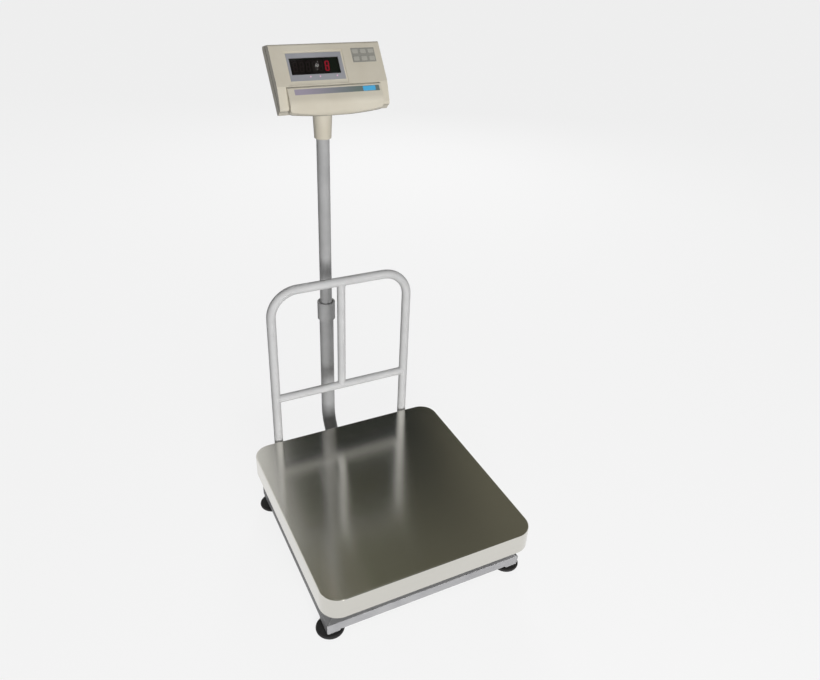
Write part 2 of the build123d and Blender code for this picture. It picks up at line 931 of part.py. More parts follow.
save("load_cell", load_cell())
low_spacer = cell_spacer_plate(1, frame_top, cell_bottom)
high_spacer = cell_spacer_plate(-1, cell_top, carrier_bottom)
save("cell_spacers", low_spacer, high_spacer)
save("cell_bolts", *[cell_bolt(y) for y in cell_bolt_places()])
save("carrier_beam_front", carrier_beam(-1))
save("carrier_beam_rear", carrier_beam(1))
save("carrier_spine", carrier_spine())
save("carrier_pads", *[carrier_pad(x, y) for x, y in each_corner(foot_x, carrier_pitch / 2)])
save("overload_stops", *[overload_stop(x, y) for x, y in each_corner(foot_x, carrier_pitch / 2)])

guard_x = guard_pitch / 2
save("guard_hoop", guard_hoop())
save("guard_crossbar", guard_crossbar())
save("guard_centre_bar", guard_centre_bar())
save("guard_brackets", guard_bracket(-guard_x), guard_bracket(guard_x))
save("guard_bolts", *[guard_bolt(x, z) for x in (-guard_x, guard_x) for z in guard_bolt_places()])

save("column_tube", column_tube())
save("column_bolts", *[flange_bolt(x) for x in flange_bolt_places()])
save("column_collar", column_collar())
save("column_bush", column_bush())
save("column_lock_bolt", column_lock_bolt())
save("mast", mast())

save("neck", neck())
save("neck_screw", neck_screw())
save("tilt_bolt", tilt_bolt())
save("tilt_knob", tilt_knob())

save("front_shell", tilted(front_shell()))
save("rear_shell", tilted(rear_shell() + tilt_lug(1) + tilt_lug(-1)) - tilt_bore(tongue_width))
save("case_screws", *[tilted(case_screw(x, y)) for x, y in case_screw_places()])
save("window_surround", tilted(surround()))
save("window_lens", tilted(window_lens()))
save("status_lamps", *[tilted(lamp(x, y)) for x, y in lamp_places()])
save("digit_module", tilted(digit_module()))
save("accent_strip", tilted(strip_box(strip_rise)))
save("keypad_panel", tilted(keypad_panel()))
for number, (x, y) in enumerate(key_places(), 1):
    save(f"key_{number}", tilted(key(x, y)))
save("circuit_board", tilted(circuit_board()))
save("board_standoffs", *[tilted(standoff(x, y)) for x, y in standoff_places()])
save("backup_battery", tilted(battery()))
save("cable_inlets", tilted(cable_inlet(-gland_pitch / 2)), tilted(cable_inlet(gland_pitch / 2)))
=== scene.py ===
import json
import math

import bmesh
import bpy
from mathutils import Matrix, Vector


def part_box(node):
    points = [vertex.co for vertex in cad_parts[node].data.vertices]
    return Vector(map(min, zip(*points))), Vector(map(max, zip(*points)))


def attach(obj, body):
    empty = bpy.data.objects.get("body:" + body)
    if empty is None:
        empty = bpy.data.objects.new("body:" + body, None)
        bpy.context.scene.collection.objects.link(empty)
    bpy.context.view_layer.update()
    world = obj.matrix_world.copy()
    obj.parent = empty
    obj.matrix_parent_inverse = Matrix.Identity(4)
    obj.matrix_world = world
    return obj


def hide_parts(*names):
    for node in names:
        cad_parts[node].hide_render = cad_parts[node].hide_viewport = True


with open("model.json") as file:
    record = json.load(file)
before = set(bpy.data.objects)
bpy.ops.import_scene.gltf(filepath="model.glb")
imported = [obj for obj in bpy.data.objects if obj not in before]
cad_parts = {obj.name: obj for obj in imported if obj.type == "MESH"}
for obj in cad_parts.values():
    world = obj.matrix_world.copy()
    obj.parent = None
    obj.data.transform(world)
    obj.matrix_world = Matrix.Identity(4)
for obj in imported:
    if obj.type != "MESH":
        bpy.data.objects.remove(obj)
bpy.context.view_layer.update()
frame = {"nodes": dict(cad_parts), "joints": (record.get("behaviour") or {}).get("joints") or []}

nodes = frame["nodes"]
mm = 0.001


# Small helpers

def toLinear(hexColour):
    values = [int(hexColour[i:i + 2], 16) / 255 for i in (1, 3, 5)]
    return (*(v / 12.92 if v <= 0.04045 else ((v + 0.055) / 1.055) ** 2.4 for v in values), 1.0)


def addNode(tree, kind, settings, links):
    # settings are the node's own properties. In links a socket, a node (its first output) or a list of
    # them is joined to the input, and anything else becomes the input's value
    node = tree.nodes.new(kind)
    for name, value in settings.items():
        setattr(node, name, value)
    for name, value in links.items():
        for source in value if isinstance(value, list) else [value]:
            if isinstance(source, bpy.types.Node):
                source = source.outputs[0]
            if isinstance(source, bpy.types.NodeSocket):
                tree.links.new(source, node.inputs[name])
            else:
                node.inputs[name].default_value = source
    return node


def startMaterial(name):
    material = bpy.data.materials.new(name)
    material.use_nodes = True
    material.node_tree.nodes.clear()
    return material, material.node_tree


def objectPattern(tree, size, alongX=None):
    # Object coordinates are metres in the model's frame, so the pattern has the real size that is given
    place = addNode(tree, "ShaderNodeTexCoord", {}, {})
    return addNode(tree, "ShaderNodeMapping", {}, {
        "Vector": place.outputs["Object"], "Scale": (1 / (alongX or size), 1 / size, 1 / size)})


# Finishes

evenSpan = {"From Min": 0.3, "From Max": 0.7}  # nearly all that a noise gives
patchySpan = {"From Min": 0.35, "From Max": 0.7}  # its low end cut off, so that wear stays in patches

stainlessSheet = {
    "name": "brushed_304_stainless", "dull": "#cfcdc6", "bright": "#dfddd6",
    "grainWidth": 0.9 * mm, "grainLength": 260 * mm,  # real grit lines are 0.1 mm, drawn coarser so they show
    "handling": 240 * mm, "handlingShare": 0.2, "smooth": 0.15, "rough": 0.19, "depth": 0.006 * mm,
    "bump": 0.3, "stretch": 0.85, "across": (0, 0.45, 0.9),
}


def brushedStainless(sizes):
    # 304 sheet, belt brushed along its width: reflections drawn out across the grain, slightly warm
    material, tree = startMaterial(sizes["name"])
    grain = addNode(tree, "ShaderNodeTexNoise", {}, {
        "Vector": objectPattern(tree, sizes["grainWidth"], sizes["grainLength"]),
        "Scale": 1, "Detail": 3, "Roughness": 0.6})
    cloud = addNode(tree, "ShaderNodeTexNoise", {}, {
        "Vector": objectPattern(tree, sizes["handling"]), "Scale": 1, "Detail": 3, "Roughness": 0.55})
    handling = addNode(tree, "ShaderNodeMapRange", {}, {
        **evenSpan, "Value": cloud, "To Min": 0, "To Max": sizes["handlingShare"]})
    share = addNode(tree, "ShaderNodeMath", {"operation": "MULTIPLY_ADD"}, {
        0: grain, 1: 1 - sizes["handlingShare"], 2: handling})
    colour = addNode(tree, "ShaderNodeMix", {"data_type": "RGBA"}, {
        0: share, 6: toLinear(sizes["dull"]), 7: toLinear(sizes["bright"])})
    roughness = addNode(tree, "ShaderNodeMapRange", {}, {
        "Value": share, "From Min": 0.25, "From Max": 0.75,
        "To Min": sizes["smooth"], "To Max": sizes["rough"]})
    bump = addNode(tree, "ShaderNodeBump", {}, {
        "Strength": sizes["bump"], "Distance": sizes["depth"], "Height": grain})
    # The grooves run along X, so the sheen spreads across them: along Y on the top, along Z on the skirt
    across = addNode(tree, "ShaderNodeCombineXYZ", {}, dict(zip("XYZ", sizes["across"])))
    shader = addNode(tree, "ShaderNodeBsdfPrincipled", {}, {
        "Base Color": colour.outputs[2], "Metallic": 1.0, "Anisotropic": sizes["stretch"],
        "Tangent": across, "Roughness": roughness, "Normal": bump})
    addNode(tree, "ShaderNodeOutputMaterial", {}, {"Surface": shader})
    return material


enamels = {
    "frame": {"name": "silver_grey_enamel", "colour": "#a1a1a2", "worn": "#949496",
              "peel": 2.2 * mm, "depth": 0.03 * mm, "smooth": 0.42, "rough": 0.52, "level": 0.3},
    "rail": {"name": "aluminium_lacquer_on_tube", "colour": "#cbcbcb", "worn": "#c2c2c2",
             "peel": 2.6 * mm, "depth": 0.008 * mm, "smooth": 0.42, "rough": 0.5, "level": 0.12},
    "column": {"name": "grey_powder_coat", "colour": "#acacac", "worn": "#a0a0a0",
               "peel": 1.6 * mm, "depth": 0.02 * mm, "smooth": 0.36, "rough": 0.44, "level": 0.2},
}
enamelWear = {"patch": 60 * mm, "bump": 0.3}


def sprayedEnamel(sizes):
    # Sprayed enamel on tube: soft sheen with a faint orange peel, duller where it is handled
    material, tree = startMaterial(sizes["name"])
    peel = addNode(tree, "ShaderNodeTexNoise", {}, {
        "Vector": objectPattern(tree, sizes["peel"]), "Scale": 1, "Detail": 2, "Roughness": 0.5})
    wear = addNode(tree, "ShaderNodeTexNoise", {}, {
        "Vector": objectPattern(tree, enamelWear["patch"]), "Scale": 1, "Detail": 4, "Roughness": 0.6})
    share = addNode(tree, "ShaderNodeMapRange", {}, {**patchySpan, "Value": wear, "To Min": 0, "To Max": 1})
    colour = addNode(tree, "ShaderNodeMix", {"data_type": "RGBA"}, {
        0: share, 6: toLinear(sizes["colour"]), 7: toLinear(sizes["worn"])})
    roughness = addNode(tree, "ShaderNodeMapRange", {}, {
        "Value": share, "From Min": 0, "From Max": 1, "To Min": sizes["smooth"], "To Max": sizes["rough"]})
    bump = addNode(tree, "ShaderNodeBump", {}, {
        "Strength": enamelWear["bump"], "Distance": sizes["depth"], "Height": peel})
    shader = addNode(tree, "ShaderNodeBsdfPrincipled", {}, {
        "Base Color": colour.outputs[2], "Specular IOR Level": sizes["level"],
        "Roughness": roughness, "Normal": bump})
    addNode(tree, "ShaderNodeOutputMaterial", {}, {"Surface": shader})
    return material


plastics = {
    "housing": {"name": "moulded_abs_beige", "colour": "#cdc7b8", "aged": "#c6bfaf", "grain": 0.9 * mm,
                "depth": 0.05 * mm, "smooth": 0.42, "rough": 0.55, "ior": 1.54},
    "bush": {"name": "turned_nylon_natural", "colour": "#dcdad2", "aged": "#cfccc0", "grain": 1.2 * mm,
             "depth": 0.02 * mm, "smooth": 0.35, "rough": 0.45, "ior": 1.53},
    "knob": {"name": "moulded_nylon_black", "colour": "#1b1b1d", "aged": "#26262a", "grain": 0.8 * mm,
             "depth": 0.05 * mm, "smooth": 0.45, "rough": 0.6, "ior": 1.53},
    "surround": {"name": "printed_polycarbonate_lavender_grey", "colour": "#9b9ca1", "aged": "#8f9096",
                 "grain": 0.7 * mm, "depth": 0.015 * mm, "smooth": 0.4, "rough": 0.5, "ior": 1.58},
    "keypad": {"name": "printed_polyester_keypad_grey", "colour": "#98978f", "aged": "#8f8e87",
               "grain": 0.7 * mm, "depth": 0.015 * mm, "smooth": 0.42, "rough": 0.52, "ior": 1.6},
    "keys": {"name": "silicone_keys_pale_grey", "colour": "#b3b1a8", "aged": "#a8a69e", "grain": 0.8 * mm,
             "depth": 0.02 * mm, "smooth": 0.5, "rough": 0.6, "ior": 1.43},
    "rubber": {"name": "moulded_rubber_black", "colour": "#1c1c1e", "aged": "#2d2c2b", "grain": 1.4 * mm,
               "depth": 0.08 * mm, "smooth": 0.6, "rough": 0.8, "ior": 1.52},
    "laminate": {"name": "solder_masked_laminate_green", "colour": "#1d5a3a", "aged": "#17492f",
                 "grain": 1.0 * mm, "depth": 0.02 * mm, "smooth": 0.35, "rough": 0.45, "ior": 1.5},
    "battery": {"name": "moulded_abs_black", "colour": "#232326", "aged": "#2c2c2f", "grain": 1.0 * mm,
                "depth": 0.04 * mm, "smooth": 0.45, "rough": 0.55, "ior": 1.54},
    "digits": {"name": "cast_epoxy_dark_red", "colour": "#0d0809", "aged": "#140a0b", "grain": 0.9 * mm,
               "depth": 0.01 * mm, "smooth": 0.6, "rough": 0.7, "ior": 1.5},
    "block": {"name": "printed_polyester_blue", "colour": "#54b2e2", "aged": "#48a5d8", "grain": 0.7 * mm,
              "depth": 0.01 * mm, "smooth": 0.35, "rough": 0.45, "ior": 1.6},
    "segments": {"name": "cast_epoxy_unlit_segment", "colour": "#24191a", "aged": "#2a1d1e",
                 "grain": 0.8 * mm, "depth": 0.01 * mm, "smooth": 0.6, "rough": 0.7, "ior": 1.5},
    # painted shade: a dark bead in the housing's own hue, standing for the shadow in the parting seam between
    # the shells
    "shadedSeam": {"name": "moulded_bead_painted_seam_shade", "colour": "#5c5850", "aged": "#4f4c46", "grain": 0.8 * mm,
             "depth": 0.02 * mm, "smooth": 0.6, "rough": 0.7, "ior": 1.5},
}
mouldedSkin = {"drift": 80 * mm, "bump": 0.4}


def mouldedPlastic(sizes):
    # Moulded part: even colour with a slow drift from age, fine eroded grain from the tool, soft sheen
    material, tree = startMaterial(sizes["name"])
    grain = addNode(tree, "ShaderNodeTexNoise", {}, {
        "Vector": objectPattern(tree, sizes["grain"]), "Scale": 1, "Detail": 2, "Roughness": 0.5})
    drift = addNode(tree, "ShaderNodeTexNoise", {}, {
        "Vector": objectPattern(tree, mouldedSkin["drift"]), "Scale": 1, "Detail": 3, "Roughness": 0.55})
    share = addNode(tree, "ShaderNodeMapRange", {}, {**patchySpan, "Value": drift, "To Min": 0, "To Max": 1})
    colour = addNode(tree, "ShaderNodeMix", {"data_type": "RGBA"}, {
        0: share, 6: toLinear(sizes["colour"]), 7: toLinear(sizes["aged"])})
    roughness = addNode(tree, "ShaderNodeMapRange", {}, {
        **evenSpan, "Value": grain, "To Min": sizes["smooth"], "To Max": sizes["rough"]})
    bump = addNode(tree, "ShaderNodeBump", {}, {
        "Strength": mouldedSkin["bump"], "Distance": sizes["depth"], "Height": grain})
    shader = addNode(tree, "ShaderNodeBsdfPrincipled", {}, {
        "Base Color": colour.outputs[2], "IOR": sizes["ior"], "Roughness": roughness, "Normal": bump})
    addNode(tree, "ShaderNodeOutputMaterial", {}, {"Surface": shader})
    return material


metals = {
    "zinc": {"name": "zinc_plated_steel", "dull": "#9fa1a3", "bright": "#b9bbbd", "patch": 7 * mm,
             "smooth": 0.28, "rough": 0.45},
    "aluminium": {"name": "milled_aluminium", "dull": "#b3b5b8", "bright": "#c9cacd", "patch": 3 * mm,
                  "smooth": 0.3, "rough": 0.42},
}


def platedMetal(sizes):
    # Plated or milled metal: bright with soft patches of uneven plating or cutter marks
    material, tree = startMaterial(sizes["name"])
    patch = addNode(tree, "ShaderNodeTexNoise", {}, {
        "Vector": objectPattern(tree, sizes["patch"]), "Scale": 1, "Detail": 3, "Roughness": 0.6})
    share = addNode(tree, "ShaderNodeMapRange", {}, {**evenSpan, "Value": patch, "To Min": 0, "To Max": 1})
    colour = addNode(tree, "ShaderNodeMix", {"data_type": "RGBA"}, {
        0: share, 6: toLinear(sizes["dull"]), 7: toLinear(sizes["bright"])})
    roughness = addNode(tree, "ShaderNodeMapRange", {}, {
        "Value": share, "From Min": 0, "From Max": 1, "To Min": sizes["rough"], "To Max": sizes["smooth"]})
    shader = addNode(tree, "ShaderNodeBsdfPrincipled", {}, {
        "Base Color": colour.outputs[2], "Metallic": 1.0, "Roughness": roughness})
    addNode(tree, "ShaderNodeOutputMaterial", {}, {"Surface": shader})
    return material


lensSheet = {"name": "tinted_acrylic_smoke", "tint": "#161213", "alpha": 0.5, "ior": 1.49,
             "smear": 30 * mm, "smooth": 0.02, "smeared": 0.05}


def tintedAcrylic(sizes):
    # Smoked acrylic: nearly black, shows the lit digit and a sharp glint, faintly smeared by fingers
    material, tree = startMaterial(sizes["name"])
    smear = addNode(tree, "ShaderNodeTexNoise", {}, {
        "Vector": objectPattern(tree, sizes["smear"]), "Scale": 1, "Detail": 4, "Roughness": 0.6})
    roughness = addNode(tree, "ShaderNodeMapRange", {}, {
        **evenSpan, "Value": smear, "To Min": sizes["smooth"], "To Max": sizes["smeared"]})
    shader = addNode(tree, "ShaderNodeBsdfPrincipled", {}, {
        "Base Color": toLinear(sizes["tint"]), "IOR": sizes["ior"], "Alpha": sizes["alpha"],
        "Roughness": roughness})
    addNode(tree, "ShaderNodeOutputMaterial", {}, {"Surface": shader})
    return material


stripSheet = {"name": "printed_polyester_strip", "left": "#9b93a2", "right": "#697673",
              "from": -70 * mm, "to": 50 * mm, "mottle": 5 * mm, "smooth": 0.38, "rough": 0.48, "ior": 1.6}


def printedStrip(sizes):
    # Printed film that fades from lavender to slate along its length, satin like the other films
    material, tree = startMaterial(sizes["name"])
    place = addNode(tree, "ShaderNodeTexCoord", {}, {})
    axis = addNode(tree, "ShaderNodeSeparateXYZ", {}, {"Vector": place.outputs["Object"]})
    share = addNode(tree, "ShaderNodeMapRange", {}, {
        "Value": axis.outputs["X"], "From Min": sizes["from"], "From Max": sizes["to"],
        "To Min": 0, "To Max": 1})
    colour = addNode(tree, "ShaderNodeMix", {"data_type": "RGBA"}, {
        0: share, 6: toLinear(sizes["left"]), 7: toLinear(sizes["right"])})
    mottle = addNode(tree, "ShaderNodeTexNoise", {}, {
        "Vector": objectPattern(tree, sizes["mottle"]), "Scale": 1, "Detail": 2, "Roughness": 0.5})
    roughness = addNode(tree, "ShaderNodeMapRange", {}, {
        **evenSpan, "Value": mottle, "To Min": sizes["smooth"], "To Max": sizes["rough"]})
    shader = addNode(tree, "ShaderNodeBsdfPrincipled", {}, {
        "Base Color": colour.outputs[2], "IOR": sizes["ior"], "Roughness": roughness})
    addNode(tree, "ShaderNodeOutputMaterial", {}, {"Surface": shader})
    return material


glows = {
    "litDigit": {"name": "lit_segment_red", "colour": "#c81f38", "deep": "#96142a", "strength": 0.9},
    "lamps": {"name": "cast_epoxy_lamp_pink", "colour": "#d8b0c8", "deep": "#cf9fbc", "strength": 0.3},
}
castEpoxy = {"haze": 3 * mm, "ior": 1.5, "roughness": 0.25}


def litEpoxy(sizes):
    # A lit segment or lamp in cast epoxy: the chip behind makes it glow a little unevenly
    material, tree = startMaterial(sizes["name"])
    haze = addNode(tree, "ShaderNodeTexNoise", {}, {
        "Vector": objectPattern(tree, castEpoxy["haze"]), "Scale": 1, "Detail": 2, "Roughness": 0.5})
    share = addNode(tree, "ShaderNodeMapRange", {}, {**evenSpan, "Value": haze, "To Min": 0, "To Max": 1})
    colour = addNode(tree, "ShaderNodeMix", {"data_type": "RGBA"}, {
        0: share, 6: toLinear(sizes["colour"]), 7: toLinear(sizes["deep"])}).outputs[2]
    shader = addNode(tree, "ShaderNodeBsdfPrincipled", {}, {
        "Base Color": colour, "Emission Color": colour, "Emission Strength": sizes["strength"],
        "IOR": castEpoxy["ior"], "Roughness": castEpoxy["roughness"]})
    addNode(tree, "ShaderNodeOutputMaterial", {}, {"Surface": shader})
    return material


finishes = {"stainless": brushedStainless(stainlessSheet), "lens": tintedAcrylic(lensSheet),
            "strip": printedStrip(stripSheet)}
for makeFinish, sheets in ((sprayedEnamel, enamels), (mouldedPlastic, plastics), (platedMetal, metals),
                           (litEpoxy, glows)):
    finishes.update({key: makeFinish(sizes) for key, sizes in sheets.items()})

corners = ["front_left", "front_right", "rear_left", "rear_right"]
finishOfNode = {
    "stainless": ["platter"],
    "frame": ["base_tube_front", "base_tube_rear", "base_tube_left", "base_tube_right", "base_beams",
              "corner_legs", "cell_spacers", "carrier_beam_front", "carrier_beam_rear", "carrier_spine"],
    "rail": ["guard_hoop", "guard_crossbar", "guard_centre_bar", "guard_brackets"],
    "column": ["column_tube", "column_collar", "mast"],
    "housing": ["front_shell", "rear_shell", "neck"],
    "bush": ["column_bush"],
    "knob": ["tilt_knob", "cable_inlets"],
    "surround": ["window_surround"],
    "keypad": ["keypad_panel"],
    "keys": ["key_%d" % number for number in range(1, 7)],
    "rubber": ["carrier_pads"] + ["foot_pad_" + corner for corner in corners],
    "laminate": ["circuit_board"],
    "battery": ["backup_battery"],
    "digits": ["digit_module"],
    "lamps": ["status_lamps"],
    "zinc": ["foot_locknuts", "cell_bolts", "overload_stops", "guard_bolts", "column_bolts",
             "column_lock_bolt", "neck_screw", "tilt_bolt", "case_screws", "board_standoffs"]
            + ["foot_stud_" + corner for corner in corners],
    "aluminium": ["load_cell"],
    "lens": ["window_lens"],
    "strip": ["accent_strip"],
}


def coat(piece, material):
    piece.data.materials.clear()
    piece.data.materials.append(material)


for finish, names in finishOfNode.items():
    for name in names:
        coat(nodes[name], finishes[finish])
unfinished = sorted(set(nodes) - {name for names in finishOfNode.values() for name in names})
print("finishes set on", len(nodes) - len(unfinished), "nodes, none on", unfinished)


# What repeats: each tree grows its piece on the points or edges of a small start mesh

def startTree(name, sizes):
    # One named input for each size, so a piece can be changed from its modifier
    tree = bpy.data.node_groups.new(name, "GeometryNodeTree")
    tree.interface.new_socket("Geometry", in_out="INPUT", socket_type="NodeSocketGeometry")
    tree.interface.new_socket("Geometry", in_out="OUTPUT", socket_type="NodeSocketGeometry")
    for label, value in sizes.items():
        tree.interface.new_socket(label, in_out="INPUT", socket_type="NodeSocketFloat").default_value = value
    return tree, addNode(tree, "NodeGroupInput", {}, {}).outputs


def endTree(tree, geometry, material):
    real = addNode(tree, "GeometryNodeRealizeInstances", {}, {"Geometry": geometry})
    dressed = addNode(tree, "GeometryNodeSetMaterial", {}, {"Geometry": real, "Material": material})
    addNode(tree, "NodeGroupOutput", {}, {"Geometry": dressed})
    return tree


def setOnSeeds(tree, seeds, part):
    # One copy on each point, turned by the angles that the point carries
    angles = addNode(tree, "GeometryNodeInputNamedAttribute", {"data_type": "FLOAT_VECTOR"}, {"Name": "turn"})
    turn = addNode(tree, "FunctionNodeEulerToRotation", {}, {"Euler": angles.outputs["Attribute"]})
    return addNode(tree, "GeometryNodeInstanceOnPoints", {}, {
        "Points": seeds, "Instance": part, "Rotation": turn})


def seedMesh(name, seeds):
    # seeds are places with the turn of what stands there
    mesh = bpy.data.meshes.new(name)
    mesh.from_pydata([place for place, turn in seeds], [], [])
    angles = mesh.attributes.new("turn", "FLOAT_VECTOR", "POINT")
    for entry, (place, turn) in zip(angles.data, seeds):
        entry.vector = turn.to_euler()
    return mesh


def seamMesh(name, routes):
    # routes are lists of points, with True where the line closes on itself
    mesh = bpy.data.meshes.new(name)
    points = []
    edges = []
    for route, closes in routes:
        first = len(points)
        points += route
        edges += [(first + step, first + step + 1) for step in range(len(route) - 1)]
        if closes:
            edges.append((len(points) - 1, first))
    mesh.from_pydata(points, edges, [])
    return mesh


def growPiece(name, start, tree, sizes, body, slot, *replaced):
    piece = bpy.data.objects.new(name, start)
    bpy.context.scene.collection.objects.link(piece)
    modifier = piece.modifiers.new("shape", "NODES")
    modifier.node_group = tree
    for item in tree.interface.items_tree:
        if item.in_out == "INPUT" and item.name in sizes:
            modifier[item.identifier] = sizes[item.name]
    grown = bpy.data.meshes.new_from_object(piece.evaluated_get(bpy.context.evaluated_depsgraph_get()))
    piece.modifiers.clear()
    piece.data = grown
    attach(piece, body)
    if replaced:
        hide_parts(*replaced)
    print("grown", name, len(grown.polygons), "faces")


def facing(way):
    return Vector(way).to_track_quat("Z", "Y").to_matrix()


def middleOf(node, axis):
    return (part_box(node)[0][axis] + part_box(node)[1][axis]) / 2


# Bolts with chamfered heads, washers and rolled threads, on the seats of the CAD ones

threadShape = {"core": 0.9, "ridge": 0.1,  # shares of the thread's outer radius
               "sides": 24, "turnSteps": 16}


def threaded(tree, radius, length, pitch):
    # A core with a ridge that winds up it, from z 0 to the length
    coreRadius = addNode(tree, "ShaderNodeMath", {"operation": "MULTIPLY"}, {
        0: radius, 1: threadShape["core"]})
    core = addNode(tree, "GeometryNodeMeshCylinder", {}, {
        "Vertices": threadShape["sides"], "Radius": coreRadius, "Depth": length})
    half = addNode(tree, "ShaderNodeMath", {"operation": "MULTIPLY"}, {0: length, 1: 0.5})
    middle = addNode(tree, "ShaderNodeCombineXYZ", {}, {"Z": half})
    core = addNode(tree, "GeometryNodeTransform", {}, {"Geometry": core, "Translation": middle})
    rounds = addNode(tree, "ShaderNodeMath", {"operation": "DIVIDE"}, {0: length, 1: pitch})
    helix = addNode(tree, "GeometryNodeCurveSpiral", {}, {
        "Resolution": threadShape["turnSteps"], "Rotations": rounds, "Start Radius": coreRadius,
        "End Radius": coreRadius, "Height": length})
    ridgeRadius = addNode(tree, "ShaderNodeMath", {"operation": "MULTIPLY"}, {
        0: radius, 1: threadShape["ridge"]})
    ridge = addNode(tree, "GeometryNodeCurvePrimitiveCircle", {}, {"Resolution": 4, "Radius": ridgeRadius})
    thread = addNode(tree, "GeometryNodeCurveToMesh", {}, {
        "Curve": helix, "Profile Curve": ridge, "Fill Caps": True})
    return addNode(tree, "GeometryNodeJoinGeometry", {}, {"Geometry": [core, thread]})


boltSizes = {"Across Flats": 13.2 * mm, "Head Height": 5 * mm, "Washer Radius": 8.4 * mm,
             "Washer Height": 1.2 * mm, "Shank Radius": 4 * mm, "Shank Length": 20 * mm,
             "Thread Pitch": 1.25 * mm}
boltHead = {"ring": 0.475, "slope": math.radians(60), "coneSides": 48, "washerSides": 40}


def makeBoltTree(material):
    tree, sizes = startTree("bolts", boltSizes)
    flats = sizes["Across Flats"]
    head = sizes["Head Height"]
    # The prism stands on z 0 and the cone ends at the head's top, so no two faces lie in one plane
    corner = addNode(tree, "ShaderNodeMath", {"operation": "DIVIDE"}, {0: flats, 1: math.sqrt(3)})
    tall = addNode(tree, "ShaderNodeMath", {"operation": "MULTIPLY"}, {0: head, 1: 2.0})
    prism = addNode(tree, "GeometryNodeMeshCylinder", {}, {"Vertices": 6, "Radius": corner, "Depth": tall})
    headTop = addNode(tree, "ShaderNodeCombineXYZ", {}, {"Z": head})
    prism = addNode(tree, "GeometryNodeTransform", {}, {"Geometry": prism, "Translation": headTop})
    # The chamfer leaves a flat ring on top, and its cone flares from there to below the head
    ring = addNode(tree, "ShaderNodeMath", {"operation": "MULTIPLY"}, {0: flats, 1: boltHead["ring"]})
    depth = addNode(tree, "ShaderNodeMath", {"operation": "MULTIPLY"}, {0: head, 1: 1.5})
    flare = addNode(tree, "ShaderNodeMath", {"operation": "MULTIPLY_ADD"}, {
        0: depth, 1: math.tan(boltHead["slope"]), 2: ring})
    cone = addNode(tree, "GeometryNodeMeshCone", {}, {
        "Vertices": boltHead["coneSides"], "Radius Top": ring, "Radius Bottom": flare, "Depth": depth})
    under = addNode(tree, "ShaderNodeMath", {"operation": "MULTIPLY"}, {0: head, 1: -0.5})
    coneFoot = addNode(tree, "ShaderNodeCombineXYZ", {}, {"Z": under})
    cone = addNode(tree, "GeometryNodeTransform", {}, {"Geometry": cone, "Translation": coneFoot})
    chamfered = addNode(tree, "GeometryNodeMeshBoolean", {"operation": "INTERSECT", "solver": "EXACT"}, {
        "Mesh 2": [prism, cone]})
    washer = addNode(tree, "GeometryNodeMeshCylinder", {}, {
        "Vertices": boltHead["washerSides"], "Radius": sizes["Washer Radius"],
        "Depth": sizes["Washer Height"]})
    halfWasher = addNode(tree, "ShaderNodeMath", {"operation": "MULTIPLY"}, {
        0: sizes["Washer Height"], 1: 0.5})
    washerMiddle = addNode(tree, "ShaderNodeCombineXYZ", {}, {"Z": halfWasher})
    washer = addNode(tree, "GeometryNodeTransform", {}, {"Geometry": washer, "Translation": washerMiddle})
    shank = threaded(tree, sizes["Shank Radius"], sizes["Shank Length"], sizes["Thread Pitch"])
    below = addNode(tree, "ShaderNodeMath", {"operation": "MULTIPLY"}, {0: sizes["Shank Length"], 1: -1.0})
    shankFoot = addNode(tree, "ShaderNodeCombineXYZ", {}, {"Z": below})
    shank = addNode(tree, "GeometryNodeTransform", {}, {"Geometry": shank, "Translation": shankFoot})
    bolt = addNode(tree, "GeometryNodeJoinGeometry", {}, {"Geometry": [chamfered, washer, shank]})
    return endTree(tree, setOnSeeds(tree, sizes["Geometry"], bolt), material)


boltTree = makeBoltTree(finishes["zinc"])
boltGroups = {
    "guard_bolts": {"body": "base", "x": (-175 * mm, 175 * mm), "z": (30 * mm, 60 * mm),
                    "sizes": {"Head Height": 5 * mm, "Shank Length": 27.5 * mm}},
    "column_bolts": {"body": "base", "x": (-30 * mm, 30 * mm, -52 * mm, 52 * mm), "z": (30 * mm,),
                     "sizes": {"Head Height": 5 * mm, "Shank Length": 14 * mm}},
    "column_lock_bolt": {"body": "base", "x": (0,), "z": (middleOf("column_lock_bolt", 2),),
                         "sizes": {"Head Height": 5.5 * mm, "Washer Radius": 7.8 * mm,
                                   "Shank Length": 13.2 * mm}},
    "neck_screw": {"body": "neck", "x": (0,), "z": (middleOf("neck_screw", 2),),
                   "sizes": {"Head Height": 4 * mm, "Across Flats": 10 * mm, "Washer Radius": 6 * mm,
                             "Shank Radius": 3 * mm, "Shank Length": 6.7 * mm}},
}
for node, bolts in boltGroups.items():
    # Their heads face the rear, so the seat is a head's height in front of the node's rear end
    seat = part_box(node)[1][1] - bolts["sizes"]["Head Height"]
    seeds = [((x, seat, z), facing((0, 1, 0))) for x in bolts["x"] for z in bolts["z"]]
    growPiece(node + "_threaded", seedMesh(node + "_seats", seeds), boltTree, bolts["sizes"], bolts["body"],
              "zinc", node)

tiltBolt = {"Head Height": 5 * mm, "Washer Radius": 7.6 * mm}
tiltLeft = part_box("tilt_bolt")[0][0] + tiltBolt["Head Height"]
tiltBolt["Shank Length"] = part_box("tilt_bolt")[1][0] - tiltLeft
tiltSeat = (tiltLeft, middleOf("tilt_bolt", 1), middleOf("tilt_bolt", 2))
growPiece("tilt_bolt_threaded", seedMesh("tilt_bolt_seat", [(tiltSeat, facing((-1, 0, 0)))]), boltTree,
          tiltBolt, "indicator", "zinc", "tilt_bolt")


# Threads on the overload stops

stops = {"x": 221 * mm, "run": 170 * mm, "above": 1 * mm,
         "sizes": {"Radius": 4.1 * mm, "Length": 54 * mm, "Pitch": 1.25 * mm}}


def makeThreadTree(material):
    tree, sizes = startTree("stud_threads", stops["sizes"])
    stud = threaded(tree, sizes["Radius"], sizes["Length"], sizes["Pitch"])
    return endTree(tree, setOnSeeds(tree, sizes["Geometry"], stud), material)


